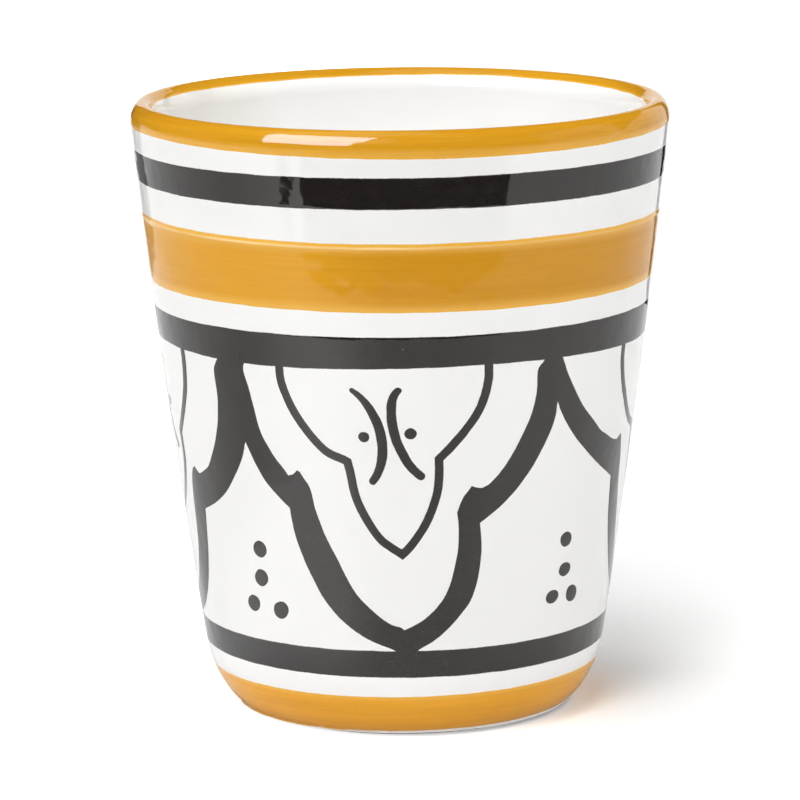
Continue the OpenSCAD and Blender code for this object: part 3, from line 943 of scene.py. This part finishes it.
# Dots of the clusters: degrees round, height, breadth, height of the dab and its tilt
LEFT_CLUSTER = [(-39.9, 28.1, 2.7, 2.55, 25), (-40.5, 23.75, 2.9, 2.55, 30),
                (-44.4, 19.6, 2.8, 2.5, 20), (-34.9, 19.25, 3.1, 2.6, 30)]
RIGHT_CLUSTER = [(46.35, 28.6, 2.6, 2.3, -20), (47.1, 24, 2.7, 2.15, 0),
                 (43.35, 20.2, 2.8, 2.1, 0), (51.15, 20, 2.85, 2.6, -25)]
CLUSTERS = [(LEFT_CLUSTER, 0), (RIGHT_CLUSTER, 0), (RIGHT_CLUSTER, 92), (LEFT_CLUSTER, 270)]
cluster_dabs = []
for spots, shift in CLUSTERS:
    for at, z, wide, high, tilt in spots:
        cluster_dabs.append(dab(at + shift, z, wide, high, tilt, at + shift))
put_on(brushwork("cluster_dabs", cluster_dabs), "dot_clusters", BLACK)


# Table, papers and lights, placed in metres
def matt_paper(name):
    f = Finish(name, 1.0)
    f.shader.inputs["Specular IOR Level"].default_value = 0.0
    return f


def plain_paper(name, grey):
    f = matt_paper(name)
    f.shader.inputs["Base Color"].default_value = (grey, grey, grey, 1)
    return f.material


def table_paper():
    """White paper, brighter on its lit side, and in the gloss to the front's left and right."""
    f = matt_paper("table_paper")
    ray = f.nodes.new("ShaderNodeLightPath")
    f.colour(f.blend(ray.outputs["Is Camera Ray"], (0.82, 0.82, 0.82), (0.98, 0.98, 0.98)))
    x, away = f.along("X"), f.length()
    around = f.reckon("ARCTAN2", x, f.times(f.along("Y"), -1.0))
    azimuth = f.times(around, 180 / math.pi)
    lit_side = f.spread(x, 0.037, -0.014, 0.0, 0.85, eased=True)
    far_azimuth = f.plus(azimuth, f.spread(away, 0.085, 0.115, 30.0, 0.0))
    left = f.times(f.spread(azimuth, -4, -32, 0.0, 0.9, eased=True),
                   f.spread(far_azimuth, -75, -38, 0.14, 1.0, eased=True))
    right = f.times(f.spread(azimuth, 15, 50, 0.0, 0.27, eased=True),
                    f.spread(azimuth, 75, 105, 1.0, 0.2))
    sheen = f.times(f.plus(left, right), f.spread(away, 0.036, 0.06, 0.0, 1.0))
    glow = f.plus(f.times(ray.outputs["Is Camera Ray"], lit_side),
                  f.times(ray.outputs["Is Glossy Ray"], sheen))
    f.shader.inputs["Emission Color"].default_value = (1, 1, 1, 1)
    f.links.new(glow, f.shader.inputs["Emission Strength"])
    return f.material


# The table reaches past the picture on every side
TABLE_W = 4.0
TABLE_FRONT = -1.8
TABLE_BACK = 2.4
DARK_PAPER = plain_paper("dark_paper", 0.012)
GREY_PAPER = plain_paper("grey_paper", 0.28)


def sheet_of_paper(name, size, place, turn_to, paper):
    """A flat sheet of the studio."""
    bpy.ops.object.select_all(action="DESELECT")
    bpy.ops.mesh.primitive_plane_add(size=1, location=place, rotation=turn_to)
    sheet = bpy.context.object
    sheet.name = name
    sheet.scale = (*size, 1)
    sheet.data.materials.append(paper)
    return sheet


def only_in_gloss(sheet):
    """Lets a piece of the studio show in the cup's gloss and nowhere else."""
    for kind in ("camera", "diffuse", "transmission", "shadow"):
        setattr(sheet, "visible_" + kind, False)
    sheet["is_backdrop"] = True


def flag(name, size, x, y, z, paper):
    """An upright sheet behind the cup that faces its axis."""
    facing = (math.pi / 2, 0, -math.atan2(x, y))
    only_in_gloss(sheet_of_paper(name, size, (x, y, z), facing, paper))


table = sheet_of_paper("white_table", (TABLE_W, TABLE_BACK - TABLE_FRONT),
                       (0, (TABLE_BACK + TABLE_FRONT) / 2, 0), (0, 0, 0), table_paper())
bpy.ops.object.transform_apply(location=True, rotation=True, scale=True)
table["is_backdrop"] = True
flag("left_flag", (0.1, 0.06), -0.172, 0.29, 0.03, GREY_PAPER)
flag("left_flag_top", (0.14, 0.14), -0.172, 0.29, 0.13, DARK_PAPER)
flag("right_flag", (0.04, 0.3), 0.134, 0.28, 0.15, DARK_PAPER)

# Dark floor in front, in millimetres and degrees; it starts further off at the sides
FAN_LIFT = 1.0
FAN_FAR = 1800
FAN_MIDDLE = 2
FAN_EVEN = 27
FAN_FLARE = 1.6


def dark_floor(name, near, low, high):
    """A dark fan of floor from a distance on, between two azimuths from the front."""
    def place(away, azimuth):
        a = math.radians(azimuth)
        return (away * math.sin(a), -away * math.cos(a), FAN_LIFT)

    def start(azimuth):
        return place(near + FAN_FLARE * max(0.0, abs(azimuth - FAN_MIDDLE) - FAN_EVEN), azimuth)

    fan = begin(name)
    azimuths = even(low, high, 4)
    near_edge = [start(a) for a in azimuths]
    draw(near_edge + [place(FAN_FAR, a) for a in azimuths[::-1]] + near_edge[:1])
    close_up()
    bpy.ops.mesh.edge_face_add()
    bpy.ops.object.mode_set(mode="OBJECT")
    fan.data.materials.append(DARK_PAPER)
    only_in_gloss(fan)


dark_floor("dark_front", 198, -41, 44.5)
dark_floor("dark_front_side", 205, -50, -45.5)

# Dark room round it all, open near the table and towards the back right
ROOM_R = 3.0
ROOM_LOW = (0, 0, 0.12)
ROOM_BACK = (0.777, 1.559, 0)
ROOM_BACK_FACES = (0.446, 0.895, -0.7)
bpy.ops.object.select_all(action="DESELECT")
bpy.ops.mesh.primitive_uv_sphere_add(segments=48, ring_count=24, radius=ROOM_R)
dark_room = bpy.context.object
dark_room.name = "dark_room"
bpy.ops.object.mode_set(mode="EDIT")
cut(ROOM_LOW, (0, 0, -1), drop=True)
cut(ROOM_BACK, ROOM_BACK_FACES, drop=True)
bpy.ops.object.mode_set(mode="OBJECT")
dark_room.data.materials.append(DARK_PAPER)
only_in_gloss(dark_room)


def light(kind, name, azimuth, elevation, away, strength):
    """A light looking at the cup, at an azimuth from the front and an elevation."""
    a, e = math.radians(azimuth), math.radians(elevation)
    way = Vector((math.sin(a) * math.cos(e), -math.cos(a) * math.cos(e), math.sin(e)))
    middle = Vector((0, 0, HEIGHT / 2 * MM))
    bpy.ops.object.light_add(type=kind, location=way * away + middle)
    made = bpy.context.object
    made.name = name
    made.rotation_euler = (-way).to_track_quat("-Z", "Y").to_euler()
    made.data.energy = strength
    return made


FAR_AWAY = 2.0
FAR_BREADTH = math.radians(26)


def far_light(name, azimuth, elevation, strength):
    """A broad even light from far off that leaves no mirror image."""
    made = light("SUN", name, azimuth, elevation, FAR_AWAY, strength)
    made.data.angle = FAR_BREADTH
    made.visible_glossy = False


def lamp(name, azimuth, elevation, away, size, watts):
    """A square lamp that shows in the gloss and lights nothing else."""
    made = light("AREA", name, azimuth, elevation, away, watts)
    made.data.size = size
    made.visible_diffuse = False
    return made


far_light("key", -15, 52, 0.919)
far_light("overhead", -30, 76, 1.235)
far_light("front_left", -30, 28, 0.711)
far_light("front_right", 30, 40, 0.909)
far_light("back_high", -150, 76, 0.425)
far_light("left_fill", -105, 14, 0.998)
far_light("right_fill", 105, 14, 1.008)
rim_window = lamp("rim_window", -41, 39, 0.9, 0.62, 28)
rim_window.data.color = (0.8, 0.95, 1.25)
lamp("rim_window_tail", -13, 39, 0.9, 0.3, 0.4)
lamp("overhead_lamp", -60, 78, 1.2, 0.8, 3.0)
lamp("right_screen", 85, 20, 1.2, 0.9, 2.5)

# World: white to the eye and in the gloss, a faint fill for everything else
WORLD_FILL = 0.02
WORLD_WHITE = 1.0
world = bpy.data.worlds.new("studio")
bpy.context.scene.world = world
world.use_nodes = True
w_nodes, w_links = world.node_tree.nodes, world.node_tree.links
w_nodes.clear()
ray = w_nodes.new("ShaderNodeLightPath")
seen = ray.outputs["Is Camera Ray"]
for kind in ("Is Glossy Ray", "Is Transmission Ray"):
    either = w_nodes.new("ShaderNodeMath")
    either.operation = "MAXIMUM"
    w_links.new(seen, either.inputs[0])
    w_links.new(ray.outputs[kind], either.inputs[1])
    seen = either.outputs[0]
sky = w_nodes.new("ShaderNodeMixShader")
w_links.new(seen, sky.inputs[0])
for socket, strength in ((sky.inputs[1], WORLD_FILL), (sky.inputs[2], WORLD_WHITE)):
    plain = w_nodes.new("ShaderNodeBackground")
    plain.inputs["Color"].default_value = (1, 1, 1, 1)
    plain.inputs["Strength"].default_value = strength
    w_links.new(plain.outputs[0], socket)
w_out = w_nodes.new("ShaderNodeOutputWorld")
w_links.new(sky.outputs[0], w_out.inputs["Surface"])

# Camera: a long lens a little above the cup, tipped slightly to one side
AIM = Vector((-0.00036, 0, 0.04497))
LENS = 211.2
AWAY = 0.69386
RAISED = math.radians(10.741)
TIPPED = math.radians(-0.545)
camera_data = bpy.data.cameras.new("camera")
camera_data.lens = LENS
camera_data.sensor_width = 36.0
camera_data.clip_start = 0.05
camera_data.clip_end = 20.0
camera = bpy.data.objects.new("camera", camera_data)
bpy.context.scene.collection.objects.link(camera)
camera.location = AIM + AWAY * Vector((0, -math.cos(RAISED), math.sin(RAISED)))
camera.rotation_euler = (Matrix.Rotation(math.pi / 2 - RAISED, 3, "X")
                         @ Matrix.Rotation(TIPPED, 3, "Z")).to_euler()
bpy.context.scene.camera = camera
bpy.context.scene.view_settings.view_transform = "Standard"

low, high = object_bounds()
